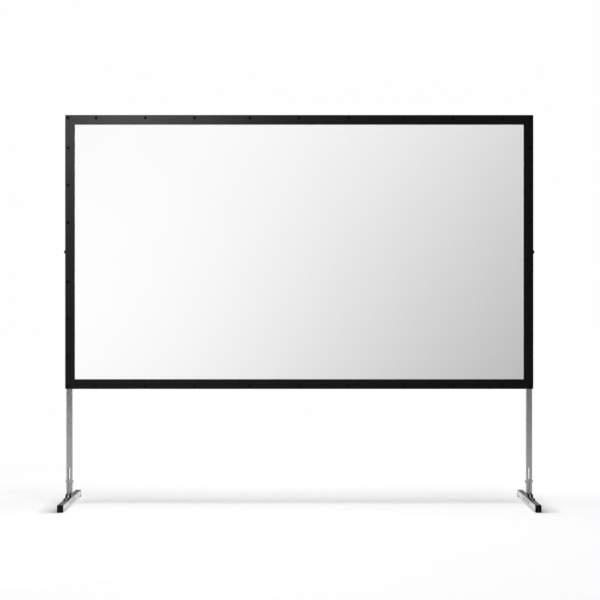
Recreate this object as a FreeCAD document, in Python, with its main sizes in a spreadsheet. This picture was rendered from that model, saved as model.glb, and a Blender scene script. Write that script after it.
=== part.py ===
import FreeCAD, Part
import Sketcher
import math
import os
import re

# Folding projection screen: a cloth on press studs, on a folding square-tube frame and two T-legs.
# Origin on the floor midway between the feet, in the plane of the legs' centres.
# +X to the viewer's right, +Y away from the viewer, +Z up. The cloth faces -Y.

doc = FreeCAD.newDocument("projection_screen")
sheet = doc.addObject("Spreadsheet::Sheet", "sizes")

# Driving dimensions, in millimetres.
driving_sizes = {
    # frame and its square tubes
    "frame_width": 2546, "frame_height": 1490, "frame_bottom": 635,
    "tube_side": 32, "tube_wall": 2, "tube_corner": 2.5, "butt_gap": 0.4,
    # cloth, its border and its press studs
    "border_width": 53, "cloth_thickness": 0.8, "cloth_stand_off": 6, "cloth_corner": 6,
    "cloth_fold_gap": 4.2, "seam_gap": 0.1,
    "rail_stud_first": 145, "rail_stud_pitch": 268, "side_stud_first": 161, "side_stud_last": 162,
    "stud_radius": 4.5, "stud_cap_radius": 7.5, "stud_cap_thick": 2, "stud_cap_edge": 0.9, "stud_gap": 0.3,
    # flat hinge plates at the frame's corners and at the middle of its sides
    "pivot_gap": 0.5, "plate_thick": 1.8, "ear_radius": 6, "plate_margin": 2.5,
    "rail_plate_reach": 40, "side_plate_reach": 42, "step_start": 12.5, "lobe_height": 11, "lobe_width": 3.4,
    "lobe_shoulder": 8.6, "lobe_toe": 2,
    "hinge_pin_radius": 2.5, "pin_clearance": 0.05, "open_pivot_clearance": 0.3,
    "rivet_radius": 4.5, "rivet_thick": 1.2,
    # butt hinges on the front of the rails
    "knuckle_radius": 2.8, "knuckle_gap": 0.05, "fold_pin_radius": 1.4, "fold_leaf_length": 40,
    "fold_leaf_thick": 2, "fold_leaf_height": 26, "fold_middle_height": 8.4, "fold_end_gap": 0.3,
    # legs
    "leg_side": 32, "leg_wall": 2.5, "leg_gap": 10, "leg_top_drop": 37, "leg_bottom": 63,
    "fork_top": 204, "leg_cap_thick": 4, "leg_cap_plug": 18, "plug_clearance": 0.1,
    "sleeve_wall": 3, "sleeve_clearance": 0.3, "sleeve_height": 120, "sleeve_pad_width": 24,
    # pivot bolt between a leg and its foot
    "pivot_height": 127, "pivot_radius": 5, "pivot_head_radius": 7, "pivot_head_thick": 5.7,
    "pivot_head_edge": 1.2,
    # clamp knobs
    "knob_radius": 21, "knob_thick": 18, "knob_hub_radius": 11, "knob_hub_thick": 8, "knob_lobes": 6,
    "knob_scallop_radius": 7, "knob_screw_radius": 4, "knob_edge": 2, "upper_knob_drop": 190,
    "upper_screw_proud": 2,
    # feet
    "foot_length": 800, "foot_cap_thick": 6, "foot_cap_width": 32.5, "foot_cap_height": 40,
    "foot_cap_round": 7, "foot_cap_top_round": 3, "foot_plug_depth": 25, "foot_raise": 8,
    "bracket_height": 20, "bracket_toe": 4, "bracket_front": 150, "bracket_rear": 110, "bracket_step": 62,
    "bracket_slope": 14, "bracket_round": 2,
    "tongue_thick": 4, "tongue_hub_thick": 8, "tongue_clearance": 0.3, "tongue_head_radius": 11,
    "tongue_neck": 16, "tongue_tang_end": 12, "tongue_tang_drop": 28,
    "foot_bolt_pitch": 95, "foot_bolt_radius": 4, "foot_bolt_head_radius": 6.5, "foot_bolt_head_thick": 2.5,
    "overrun": 1,
}

# Sizes and places worked out from the driving dimensions.
derived_sizes = {
    "half_width": "frame_width / 2",
    "half_tube": "tube_side / 2",
    "half_leg": "leg_side / 2",
    "fold_x": "frame_width / 6",
    "frame_top": "frame_bottom + frame_height",
    "mid_z": "frame_bottom + frame_height / 2",
    "low_rail_z": "frame_bottom + tube_side / 2",
    "high_rail_z": "frame_bottom + frame_height - tube_side / 2",
    "leg_x": "frame_width / 2 - tube_side / 2",
    "leg_top": "frame_bottom + frame_height / 2 - leg_top_drop",
    "upper_knob_height": "frame_bottom + frame_height / 2 - leg_top_drop - upper_knob_drop",
    "side_stud_end": "frame_height / 2 - tube_side / 2 - side_stud_last",
    "rear_y": "-(leg_side / 2 + leg_gap)",
    "front_y": "-(leg_side / 2 + leg_gap + tube_side)",
    "frame_y": "-(leg_side / 2 + leg_gap + tube_side / 2)",
    "cloth_back_y": "-(leg_side / 2 + leg_gap + tube_side + cloth_stand_off)",
    "fold_axis_y": "-(leg_side / 2 + leg_gap + tube_side + knuckle_radius + knuckle_gap)",
    "corner_x": "frame_width / 2 - tube_side - pivot_gap",
    "corner_low_z": "frame_bottom + tube_side + pivot_gap",
    "corner_high_z": "frame_bottom + frame_height - tube_side - pivot_gap",
    "mid_pivot_x": "frame_width / 2 + pivot_gap",
    "side_length": "frame_height / 2 - tube_side - butt_gap / 2",
    "foot_top": "foot_raise + tube_side",
    "foot_centre_z": "foot_raise + tube_side / 2",
    "bar_length": "foot_length - 2 * foot_cap_thick",
    "fork_width": "tongue_hub_thick + 2 * tongue_clearance",
    "tongue_slot": "tongue_thick + 2 * tongue_clearance",
    "tang_half": "foot_bolt_pitch + tongue_tang_end",
    "sleeve_outer": "leg_side + 2 * sleeve_clearance + 2 * sleeve_wall",
}

row = 1
for alias, size in driving_sizes.items():
    sheet.set("A%d" % row, alias)
    sheet.set("B%d" % row, str(size))
    sheet.setAlias("B%d" % row, alias)
    row = row + 1
for alias, formula in derived_sizes.items():
    sheet.set("A%d" % row, alias)
    sheet.set("B%d" % row, "=" + formula)
    sheet.setAlias("B%d" % row, alias)
    row = row + 1
doc.recompute()

ALIAS_WORD = re.compile(r"[a-z_][a-z_0-9]*")
NODES = []


def from_sheet(text):
    """Write the sheet's name in front of every alias in an expression."""
    return ALIAS_WORD.sub(lambda word: "sizes." + word.group(0), text)


def bind(thing, prop, text):
    thing.setExpression(prop, from_sheet(text))


def place(thing, x="0", y="0", z="0"):
    bind(thing, "Placement.Base.x", x)
    bind(thing, "Placement.Base.y", y)
    bind(thing, "Placement.Base.z", z)


def node(thing, label):
    """Mark an object as a finished sub-part with its own name."""
    thing.Label = label
    NODES.append(thing)
    return thing


def signed(side, text):
    return "%d * (%s)" % (side, text)


# Sketch and feature helpers

def new_body(x="0", y="0", z="0"):
    body = doc.addObject("PartDesign::Body", "body")
    place(body, x, y, z)
    return body


def sketch_on(body, role, offset="0"):
    """Start a sketch on one of the body's own planes, moved along that plane's normal."""
    sketch = body.newObject("Sketcher::SketchObject", "sketch")
    plane = [feature for feature in body.Origin.OriginFeatures if feature.Role == role][0]
    sketch.AttachmentSupport = [(plane, "")]
    sketch.MapMode = "FlatFace"
    bind(sketch, "AttachmentOffset.Base.z", offset)
    return sketch


def polygon(sketch, points):
    """Draw a closed outline whose corners are each held by two named dimensions."""
    count = len(points)
    first = sketch.GeometryCount
    turn = 2 * math.pi / count
    corners = [FreeCAD.Vector(math.cos(turn * i), math.sin(turn * i), 0) for i in range(count)]
    for i in range(count):
        sketch.addGeometry(Part.LineSegment(corners[i], corners[(i + 1) % count]))
    for i in range(count):
        sketch.addConstraint(Sketcher.Constraint("Coincident", first + i, 2, first + (i + 1) % count, 1))
    for i, corner in enumerate(points):
        for kind, text in zip(("DistanceX", "DistanceY"), corner):
            index = sketch.addConstraint(Sketcher.Constraint(kind, -1, 1, first + i, 1, 1.0))
            bind(sketch, "Constraints[%d]" % index, text)


def rectangle(sketch, low_x, high_x, low_y, high_y):
    polygon(sketch, [(low_x, low_y), (high_x, low_y), (high_x, high_y), (low_x, high_y)])


def circle(sketch, centre_x, centre_y, radius):
    ring = sketch.addGeometry(Part.Circle(FreeCAD.Vector(0, 0, 0), FreeCAD.Vector(0, 0, 1), 1))
    for kind, text in (("DistanceX", centre_x), ("DistanceY", centre_y)):
        index = sketch.addConstraint(Sketcher.Constraint(kind, -1, 1, ring, 3, 1.0))
        bind(sketch, "Constraints[%d]" % index, text)
    index = sketch.addConstraint(Sketcher.Constraint("Radius", ring, 1.0))
    bind(sketch, "Constraints[%d]" % index, radius)


def pad(body, sketch, length, backwards=False):
    feature = body.newObject("PartDesign::Pad", "pad")
    feature.Profile = sketch
    feature.Reversed = backwards
    bind(feature, "Length", length)
    doc.recompute()
    return feature


def pocket(body, sketch, length, backwards=False):
    before = body.Tip.Shape.Volume
    feature = body.newObject("PartDesign::Pocket", "pocket")
    feature.Profile = sketch
    feature.Reversed = backwards
    bind(feature, "Length", length)
    doc.recompute()
    if feature.Shape.Volume >= before:
        raise RuntimeError("a pocket in %s cuts nothing" % body.Name)
    return feature


def round_edges(body, radius, wanted):
    """Round the edges of the body's last feature that the test picks."""
    base = body.Tip
    names = ["Edge%d" % (i + 1) for i, edge in enumerate(base.Shape.Edges) if wanted(edge)]
    feature = body.newObject("PartDesign::Fillet", "fillet")
    feature.Base = (base, names)
    bind(feature, "Radius", radius)
    doc.recompute()
    return feature


def along(edge, direction):
    """True for a straight edge along an axis direction."""
    if edge.Curve.TypeId != "Part::GeomLine":
        return False
    return abs(edge.tangentAt(edge.FirstParameter).dot(direction)) > math.cos(math.radians(1))


AXIS_X = FreeCAD.Vector(1, 0, 0)
AXIS_Y = FreeCAD.Vector(0, 1, 0)
AXIS_Z = FreeCAD.Vector(0, 0, 1)
PICK_TOLERANCE = 0.01


def box(low_x, high_x, low_y, high_y, low_z, high_z):
    solid = doc.addObject("Part::Box", "box")
    bind(solid, "Length", "(%s) - (%s)" % (high_x, low_x))
    bind(solid, "Width", "(%s) - (%s)" % (high_y, low_y))
    bind(solid, "Height", "(%s) - (%s)" % (high_z, low_z))
    place(solid, low_x, low_y, low_z)
    return solid


def rod(radius, length, turned, x, y, z):
    """A round bar from a point, along +X, +Y or +Z."""
    solid = doc.addObject("Part::Cylinder", "rod")
    bind(solid, "Radius", radius)
    bind(solid, "Height", length)
    rotation = {"X": FreeCAD.Rotation(AXIS_Z, AXIS_X), "Y": FreeCAD.Rotation(AXIS_Z, AXIS_Y),
                "Z": FreeCAD.Rotation()}[turned]
    solid.Placement = FreeCAD.Placement(FreeCAD.Vector(0, 0, 0), rotation)
    place(solid, x, y, z)
    return solid


def fuse(shapes):
    joined = doc.addObject("Part::MultiFuse", "fuse")
    joined.Shapes = shapes
    return joined


def cut(base, tool):
    result = doc.addObject("Part::Cut", "cut")
    result.Base = base
    result.Tool = tool
    return result


def group(shapes):
    """Keep separate solids together in one sub-part."""
    together = doc.addObject("Part::Compound", "group")
    together.Links = shapes
    return together


# Square aluminium tubes: extruded with rounded outer corners, open ends butting at the hinges

def square_tube(role, side, wall, corner, length, x, y, z, backwards=False):
    body = new_body(x, y, z)
    sketch = sketch_on(body, role)
    outer = "(%s) / 2" % side
    inner = "(%s) / 2 - %s" % (side, wall)
    rectangle(sketch, "-" + outer, outer, "-" + outer, outer)
    rectangle(sketch, "-(%s)" % inner, inner, "-(%s)" % inner, inner)
    feature = pad(body, sketch, length, backwards)
    direction = {"YZ_Plane": AXIS_X, "XZ_Plane": AXIS_Y, "XY_Plane": AXIS_Z}[role]
    box_of = feature.Shape.BoundBox
    spans = {"YZ_Plane": ("YMax", "ZMax"), "XZ_Plane": ("XMax", "ZMax"), "XY_Plane": ("XMax", "YMax")}[role]

    def outer_edge(edge):
        if not along(edge, direction):
            return False
        middle = edge.BoundBox.Center
        return all(abs(abs(getattr(middle, span.lower()[0])) - getattr(box_of, span)) < PICK_TOLERANCE
                   for span in spans)

    round_edges(body, corner, outer_edge)
    return body


def rail_tube(label, low_x, high_x, z):
    body = square_tube("YZ_Plane", "tube_side", "tube_wall", "tube_corner",
                       "(%s) - (%s)" % (high_x, low_x), low_x, "frame_y", z)
    return node(body, label)


for level, rail_z in (("bottom", "low_rail_z"), ("top", "high_rail_z")):
    rail_tube(level + "_left_rail", "-half_width", "-fold_x - butt_gap / 2", rail_z)
    rail_tube(level + "_middle_rail", "-fold_x + butt_gap / 2", "fold_x - butt_gap / 2", rail_z)
    rail_tube(level + "_right_rail", "fold_x + butt_gap / 2", "half_width", rail_z)

SIDES = (("left", -1), ("right", 1))

for side_name, side in SIDES:
    for half, start in (("lower", "frame_bottom + tube_side"), ("upper", "mid_z + butt_gap / 2")):
        tube = square_tube("XY_Plane", "tube_side", "tube_wall", "tube_corner", "side_length",
                           signed(side, "leg_x"), "frame_y", start)
        node(tube, "%s_%s_side_tube" % (side_name, half))


# Press studs: a post riveted to the tube and the cap that clips on over the cloth

def bevel_rims(solid, alias, picked):
    """Bevel the round edges that the rule picks."""
    doc.recompute()
    bevelled = doc.addObject("Part::Chamfer", "bevelled")
    bevelled.Base = solid
    bevel = float(sheet.get(alias))
    bevelled.Edges = [(i + 1, bevel, bevel) for i, edge in enumerate(solid.Shape.Edges)
                      if edge.Curve.TypeId == "Part::GeomCircle" and picked(edge.BoundBox)]
    return bevelled


def stud(x, z):
    post = rod("stud_radius", "cloth_stand_off - stud_gap", "Y",
               x, "cloth_back_y + stud_gap", z)
    cap = rod("stud_cap_radius", "stud_cap_thick", "Y",
              x, "cloth_back_y - cloth_thickness - stud_gap - stud_cap_thick", z)
    return [post, bevel_rims(cap, "stud_cap_edge", lambda rim: rim.YMax < cap.Shape.BoundBox.Center.y)]


def stud_row(label, places):
    solids = []
    for x, z in places:
        solids = solids + stud(x, z)
    node(group(solids), label)


for level, rail_z in (("bottom", "low_rail_z"), ("top", "high_rail_z")):
    stud_row(level + "_middle_studs", [("%d * rail_stud_pitch" % i, rail_z) for i in (-1, 0, 1)])
    for side_name, side in SIDES:
        places = [(signed(side, "fold_x + rail_stud_first + %d * rail_stud_pitch" % i), rail_z)
                  for i in range(3)]
        places.append((signed(side, "leg_x"), rail_z))
        stud_row("%s_%s_studs" % (level, side_name), places)
for side_name, side in SIDES:
    for half, way in (("lower", -1), ("upper", 1)):
        spread = "side_stud_first + (side_stud_end - side_stud_first) / 2 * %d"
        places = [(signed(side, "leg_x"), "mid_z + %d * (%s)" % (way, spread % i)) for i in range(3)]
        stud_row("%s_%s_studs" % (side_name, half), places)


# Frame hinges: a pair of flat plates on each tube, front and rear, turning on short rivets

def flat_plate(outline, near_y, thick, backwards, hole=None, x="0", z="0"):
    """A plate in the frame's own plane, standing off a face of the tube."""
    body = new_body(x, "0", z)
    sketch = sketch_on(body, "XZ_Plane", "-(%s)" % near_y)
    polygon(sketch, outline)
    pad(body, sketch, thick, backwards)
    ear = sketch_on(body, "XZ_Plane", "-(%s)" % near_y)
    circle(ear, "0", "0", "ear_radius")
    pad(body, ear, thick, backwards)
    if hole:
        start = "overrun" if backwards else "%s + overrun" % thick
        opening = sketch_on(body, "XZ_Plane", "-(%s) + %s" % (near_y, start))
        circle(opening, "0", "0", hole)
        pocket(body, opening, "%s + 2 * overrun" % thick)
    return body


def plate_pair(outline, step_outline, hole, x, z):
    """The front and rear plates of one leaf. A stepped leaf stands one plate further out."""
    plates = []
    for face, way, backwards in (("front_y", -1, False), ("rear_y", 1, True)):
        if step_outline is None:
            plates.append(flat_plate(outline, face, "plate_thick", backwards, hole, x, z))
            continue
        outer = flat_plate(outline, "%s + %d * plate_thick" % (face, way), "plate_thick",
                           backwards, hole, x, z)
        spacer = sketch_on(outer, "XZ_Plane", "-(%s)" % face)
        polygon(spacer, step_outline)
        pad(outer, spacer, "plate_thick", backwards)
        plates.append(outer)
    return plates


def hinge_rivets(x, z):
    """A rivet on each face of the tube: its shank is in the stepped plate and its head outside it."""
    front = [rod("hinge_pin_radius", "plate_thick", "Y", x, "front_y - 2 * plate_thick", z),
             rod("rivet_radius", "rivet_thick", "Y", x, "front_y - 2 * plate_thick - rivet_thick", z)]
    rear = [rod("hinge_pin_radius", "plate_thick", "Y", x, "rear_y + plate_thick", z),
            rod("rivet_radius", "rivet_thick", "Y", x, "rear_y + 2 * plate_thick", z)]
    return front + rear


def rail_leaf_outline(side, level):
    inward = "rail_plate_reach"
    near = "plate_margin + pivot_gap"
    far = "tube_side - plate_margin + pivot_gap"
    points = [("-" + inward, far), ("ear_radius", far), ("ear_radius", "0"), ("-ear_radius", "0"),
              ("-ear_radius", near), ("-" + inward, near)]
    return [(signed(side, px), signed(-level, pz)) for px, pz in points]


def side_leaf_outline(side, level):
    near = "plate_margin + pivot_gap"
    far = "tube_side - plate_margin + pivot_gap"
    reach = "side_plate_reach"
    outline = [("ear_radius", "0"), (far, "step_start"), (far, reach), (near, reach),
               ("-ear_radius", "ear_radius"), ("-ear_radius", "0")]
    step = [(near, "step_start"), (far, "step_start"), (far, reach), (near, reach)]
    return ([(signed(side, px), signed(level, pz)) for px, pz in outline],
            [(signed(side, px), signed(level, pz)) for px, pz in step])


def mid_leaf_outline(side, level):
    near = "-(plate_margin + pivot_gap)"
    far = "-(tube_side - plate_margin + pivot_gap)"
    reach = "side_plate_reach"
    outline = [(far, reach), (near, reach), (near, "lobe_height"), ("lobe_width", "lobe_shoulder"),
               ("ear_radius", "lobe_toe"), ("0", "0"), (near, "pivot_gap"), (far, "pivot_gap")]
    step = [(far, reach), (near, reach), (near, "step_start"), (far, "step_start")]
    return ([(signed(side, px), signed(level, pz)) for px, pz in outline],
            [(signed(side, px), signed(level, pz)) for px, pz in step])


RUNNING_HOLE = "hinge_pin_radius + pin_clearance"
OPEN_HOLE = "hinge_pin_radius + open_pivot_clearance"

for side_name, side in SIDES:
    for level_name, level, corner_z in (("bottom", 1, "corner_low_z"), ("top", -1, "corner_high_z")):
        x = signed(side, "corner_x")
        plates = plate_pair(rail_leaf_outline(side, level), None, None, x, corner_z)
        node(fuse(plates + hinge_rivets(x, corner_z)), "%s_%s_corner_plates" % (level_name, side_name))
    for half, level, corner_z in (("lower", 1, "corner_low_z"), ("upper", -1, "corner_high_z")):
        hole = OPEN_HOLE if (side_name, half) == ("right", "upper") else RUNNING_HOLE
        outline, step = side_leaf_outline(side, level)
        corner = plate_pair(outline, step, hole, signed(side, "corner_x"), corner_z)
        outline, step = mid_leaf_outline(side, -level)
        x = signed(side, "mid_pivot_x")
        if half == "lower":
            middle = [fuse(plate_pair(outline, None, None, x, "mid_z") + hinge_rivets(x, "mid_z"))]
        else:
            middle = plate_pair(outline, step, RUNNING_HOLE, x, "mid_z")
        node(group(corner + middle), "%s_%s_hinge_plates" % (side_name, half))


# Rail hinges: small butt hinges on the front of the rails, under the border, with an upright pin

def fold_leaf(side, rail_z, on_wing):
    """One leaf. The middle rail's leaf has the two end knuckles and the pin."""
    way = side if on_wing else -side
    clear = "knuckle_radius + fold_end_gap"
    near = "(%s) * %d" % (clear, way)
    far = "(%s + fold_leaf_length) * %d" % (clear, way)
    low, high = (near, far) if way > 0 else (far, near)
    x = signed(side, "fold_x")
    half = "fold_leaf_height / 2"
    mid_half = "fold_middle_height / 2"
    solids = [box("%s + %s" % (x, low), "%s + %s" % (x, high), "front_y - fold_leaf_thick", "front_y",
                  "%s - %s" % (rail_z, half), "%s + %s" % (rail_z, half))]
    if on_wing:
        spans = [("-(%s)" % mid_half, mid_half)]
    else:
        spans = [("-(%s)" % half, "-(%s + fold_end_gap)" % mid_half), ("%s + fold_end_gap" % mid_half, half)]
    finger_low, finger_high = ("0", near) if way > 0 else (near, "0")
    for start, stop in spans:
        solids.append(box("%s + %s" % (x, finger_low), "%s + %s" % (x, finger_high),
                          "front_y - fold_leaf_thick", "front_y",
                          "%s + %s" % (rail_z, start), "%s + %s" % (rail_z, stop)))
        solids.append(rod("knuckle_radius", "(%s) - (%s)" % (stop, start), "Z",
                          x, "fold_axis_y", "%s + %s" % (rail_z, start)))
    if not on_wing:
        solids.append(rod("fold_pin_radius", "fold_leaf_height", "Z", x, "fold_axis_y",
                          "%s - %s" % (rail_z, half)))
        return fuse(solids)
    bore = rod("fold_pin_radius + pin_clearance", "fold_leaf_height", "Z", x, "fold_axis_y",
               "%s - %s" % (rail_z, half))
    return cut(fuse(solids), bore)


for level, rail_z in (("bottom", "low_rail_z"), ("top", "high_rail_z")):
    node(group([fold_leaf(side, rail_z, False) for side_name, side in SIDES]), level + "_middle_hinge_leaves")
    for side_name, side in SIDES:
        node(fold_leaf(side, rail_z, True), "%s_%s_hinge_leaf" % (level, side_name))


# Cloth: a white sheet and a black border band, in three panels that meet at the fold lines

CLOTH_FRONT = "cloth_back_y - cloth_thickness"
BORDER_LOW = "frame_bottom + border_width"
BORDER_HIGH = "frame_top - border_width"


def sheet_panel(label, low_x, high_x):
    node(box(low_x, high_x, CLOTH_FRONT, "cloth_back_y",
             BORDER_LOW + " + seam_gap", BORDER_HIGH + " - seam_gap"), label)


sheet_panel("middle_cloth", "-fold_x + cloth_fold_gap", "fold_x - cloth_fold_gap")
sheet_panel("left_cloth", "-half_width + border_width + seam_gap", "-fold_x - cloth_fold_gap")
sheet_panel("right_cloth", "fold_x + cloth_fold_gap", "half_width - border_width - seam_gap")

node(group([box("-fold_x + cloth_fold_gap", "fold_x - cloth_fold_gap", CLOTH_FRONT, "cloth_back_y",
                "frame_bottom", BORDER_LOW),
            box("-fold_x + cloth_fold_gap", "fold_x - cloth_fold_gap", CLOTH_FRONT, "cloth_back_y",
                BORDER_HIGH, "frame_top")]), "middle_border")

for side_name, side in SIDES:
    body = new_body("0", "cloth_back_y", "0")
    sketch = sketch_on(body, "XZ_Plane")
    inner = "fold_x + cloth_fold_gap"
    points = [(inner, "frame_bottom"), ("half_width", "frame_bottom"), ("half_width", "frame_top"),
              (inner, "frame_top"), (inner, BORDER_HIGH), ("half_width - border_width", BORDER_HIGH),
              ("half_width - border_width", BORDER_LOW), (inner, BORDER_LOW)]
    polygon(sketch, [(signed(side, px), pz) for px, pz in points])
    feature = pad(body, sketch, "cloth_thickness")
    edge_x = abs(feature.Shape.BoundBox.XMax if side > 0 else feature.Shape.BoundBox.XMin)
    round_edges(body, "cloth_corner",
                lambda edge: along(edge, AXIS_Y) and abs(edge.BoundBox.Center.x) > edge_x - PICK_TOLERANCE)
    node(body, side_name + "_border")


# Clamp knobs: a lobed handwheel moulded on a steel screw

def knob(label, x, y, z, screw_length):
    """The hub's face is at the given point and the wheel is behind it, along +Y."""
    wheel = new_body()
    profile = sketch_on(wheel, "XZ_Plane")
    polygon(profile, [("0", "0"), ("knob_hub_radius", "0"), ("knob_hub_radius", "knob_hub_thick"),
                      ("knob_radius - knob_edge", "knob_hub_thick"),
                      ("knob_radius", "knob_hub_thick + knob_edge"),
                      ("knob_radius", "knob_hub_thick + knob_thick - knob_edge"),
                      ("knob_radius - knob_edge", "knob_hub_thick + knob_thick"),
                      ("0", "knob_hub_thick + knob_thick")])
    turned = wheel.newObject("PartDesign::Revolution", "turned")
    turned.Profile = profile
    turned.ReferenceAxis = (profile, ["V_Axis"])
    turned.Angle = 360
    doc.recompute()
    scallop = sketch_on(wheel, "XY_Plane", "knob_hub_thick + knob_thick + overrun")
    circle(scallop, "knob_radius + knob_scallop_radius / 2", "0", "knob_scallop_radius")
    notch = pocket(wheel, scallop, "knob_thick + 2 * overrun")
    ring = wheel.newObject("PartDesign::PolarPattern", "ring")
    ring.Originals = [notch]
    ring.Axis = (scallop, ["N_Axis"])
    ring.Angle = 360
    bind(ring, "Occurrences", "knob_lobes")
    wheel.Tip = ring
    wheel.Placement = FreeCAD.Placement(FreeCAD.Vector(0, 0, 0), FreeCAD.Rotation(AXIS_Z, AXIS_Y))
    place(wheel, x, y, z)
    screw = rod("knob_screw_radius", "(%s) + knob_hub_thick" % screw_length, "Y",
                x, "(%s) - (%s)" % (y, screw_length), z)
    node(fuse([wheel, screw]), label)


# Legs: upright with a forked lower end, in a sleeve on the frame's corner, on a folding foot

def upright(label, side):
    x = signed(side, "leg_x")
    body = square_tube("XY_Plane", "leg_side", "leg_wall", "tube_corner", "leg_top - leg_bottom",
                       x, "0", "leg_bottom")
    fork = sketch_on(body, "XZ_Plane", "leg_side")
    rectangle(fork, "-fork_width / 2", "fork_width / 2", "-overrun", "fork_top - fork_width / 2 - leg_bottom")
    pocket(body, fork, "2 * leg_side")
    crown = sketch_on(body, "XZ_Plane", "leg_side")
    circle(crown, "0", "fork_top - fork_width / 2 - leg_bottom", "fork_width / 2")
    pocket(body, crown, "2 * leg_side")
    pivot = sketch_on(body, "YZ_Plane", "leg_side")
    circle(pivot, "0", "pivot_height - leg_bottom", "pivot_radius + pin_clearance")
    pocket(body, pivot, "2 * leg_side")
    knob_hole = sketch_on(body, "XZ_Plane", "leg_side")
    circle(knob_hole, "0", "upper_knob_height - leg_bottom", "knob_screw_radius + pin_clearance")
    pocket(body, knob_hole, "2 * leg_side")
    node(body, label)


def upright_cap(label, side):
    x = signed(side, "leg_x")
    body = new_body(x, "0", "leg_top")
    top = sketch_on(body, "XY_Plane")
    rectangle(top, "-half_leg", "half_leg", "-half_leg", "half_leg")
    pad(body, top, "leg_cap_thick")
    round_edges(body, "tube_corner", lambda edge: along(edge, AXIS_Z) or edge.BoundBox.ZMin > 0)
    plug = sketch_on(body, "XY_Plane")
    reach = "half_leg - leg_wall - plug_clearance"
    rectangle(plug, "-(%s)" % reach, reach, "-(%s)" % reach, reach)
    pad(body, plug, "leg_cap_plug", True)
    node(body, label)


def sleeve(label, side):
    """A square socket round the upright, with a pad that is welded to the rail's rear face."""
    x = signed(side, "leg_x")
    body = square_tube("XY_Plane", "sleeve_outer", "sleeve_wall", "tube_corner", "sleeve_height",
                       x, "0", "frame_bottom")
    seat = sketch_on(body, "XZ_Plane", "-rear_y")
    outer_edge = signed(side, "half_tube")
    inner_edge = signed(side, "half_tube - sleeve_pad_width")
    rectangle(seat, inner_edge, outer_edge, "plate_margin", "tube_side - plate_margin")
    pad(body, seat, "-rear_y - sleeve_outer / 2 + sleeve_wall / 2", True)
    bore = sketch_on(body, "XZ_Plane", "-sleeve_outer / 2 - overrun")
    circle(bore, "0", "sleeve_height / 2", "knob_screw_radius + pin_clearance")
    pocket(body, bore, "sleeve_wall + 2 * overrun", True)
    node(body, label)


def pivot_bolt(label, side):
    x = signed(side, "leg_x")
    shank = rod("pivot_radius", "leg_side", "X", "%s - half_leg" % x, "0", "pivot_height")
    heads = []
    for start in ("-half_leg - pivot_head_thick", "half_leg"):
        head = rod("pivot_head_radius", "pivot_head_thick", "X", "%s + %s" % (x, start), "0", "pivot_height")
        heads.append(head)
    doc.recompute()
    bolt = fuse([shank] + heads)
    node(bevel_rims(bolt, "pivot_head_edge",
                    lambda rim: rim.XMax > bolt.Shape.BoundBox.XMax - PICK_TOLERANCE
                    or rim.XMin < bolt.Shape.BoundBox.XMin + PICK_TOLERANCE), label)


def foot_bar(label, side):
    x = signed(side, "leg_x")
    body = square_tube("XZ_Plane", "tube_side", "tube_wall", "tube_corner", "bar_length",
                       x, "-bar_length / 2", "foot_centre_z", True)
    slot = sketch_on(body, "XY_Plane", "half_tube + overrun")
    reach = "tang_half + tongue_clearance"
    rectangle(slot, "-tongue_slot / 2", "tongue_slot / 2",
              "bar_length / 2 - (%s)" % reach, "bar_length / 2 + %s" % reach)
    pocket(body, slot, "tube_wall + 2 * overrun")
    for i in (-1, 0, 1):
        hole = sketch_on(body, "YZ_Plane", "tube_side")
        circle(hole, "bar_length / 2 + %d * foot_bolt_pitch" % i, "0", "foot_bolt_radius + pin_clearance")
        pocket(body, hole, "2 * tube_side")
    node(body, label)


def foot_caps(label, side):
    """Black end caps that stand on the floor and keep the bar off it."""
    x = signed(side, "leg_x")
    caps = []
    for end in (-1, 1):
        start = signed(end, "foot_length / 2 - foot_cap_thick")
        body = new_body(x, start, "0")
        flange = sketch_on(body, "XZ_Plane")
        rectangle(flange, "-foot_cap_width / 2", "foot_cap_width / 2", "0", "foot_cap_height")
        pad(body, flange, "foot_cap_thick", end > 0)
        middle = body.Shape.BoundBox.Center.z
        round_edges(body, "foot_cap_round",
                    lambda edge: along(edge, AXIS_Y) and edge.BoundBox.Center.z < middle)
        round_edges(body, "foot_cap_top_round",
                    lambda edge: along(edge, AXIS_Y) and edge.BoundBox.Center.z > middle)
        plug = sketch_on(body, "XZ_Plane")
        reach = "half_tube - tube_wall - plug_clearance"
        rectangle(plug, "-(%s)" % reach, reach, "foot_centre_z - (%s)" % reach, "foot_centre_z + %s" % reach)
        pad(body, plug, "foot_plug_depth", end < 0)
        caps.append(body)
    node(group(caps), label)


def foot_bracket(label, side):
    """Two black cheeks on the bar's top, one each side of the tongue: a raised middle and low ends."""
    cheeks = []
    for low, high in (("-half_tube", "-tongue_slot / 2"), ("tongue_slot / 2", "half_tube")):
        body = new_body("%s + %s" % (signed(side, "leg_x"), low), "0", "foot_top")
        outline = sketch_on(body, "YZ_Plane")
        polygon(outline, [("-bracket_front", "0"), ("bracket_rear", "0"), ("bracket_rear", "bracket_toe"),
                          ("bracket_step", "bracket_toe"), ("bracket_step - bracket_slope", "bracket_height"),
                          ("-bracket_step + bracket_slope", "bracket_height"),
                          ("-bracket_step", "bracket_toe"), ("-bracket_front", "bracket_toe")])
        pad(body, outline, "(%s) - (%s)" % (high, low))
        round_edges(body, "bracket_round",
                    lambda edge: along(edge, AXIS_X) and edge.BoundBox.ZMin > PICK_TOLERANCE)
        cheeks.append(body)
    node(group(cheeks), label)


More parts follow.
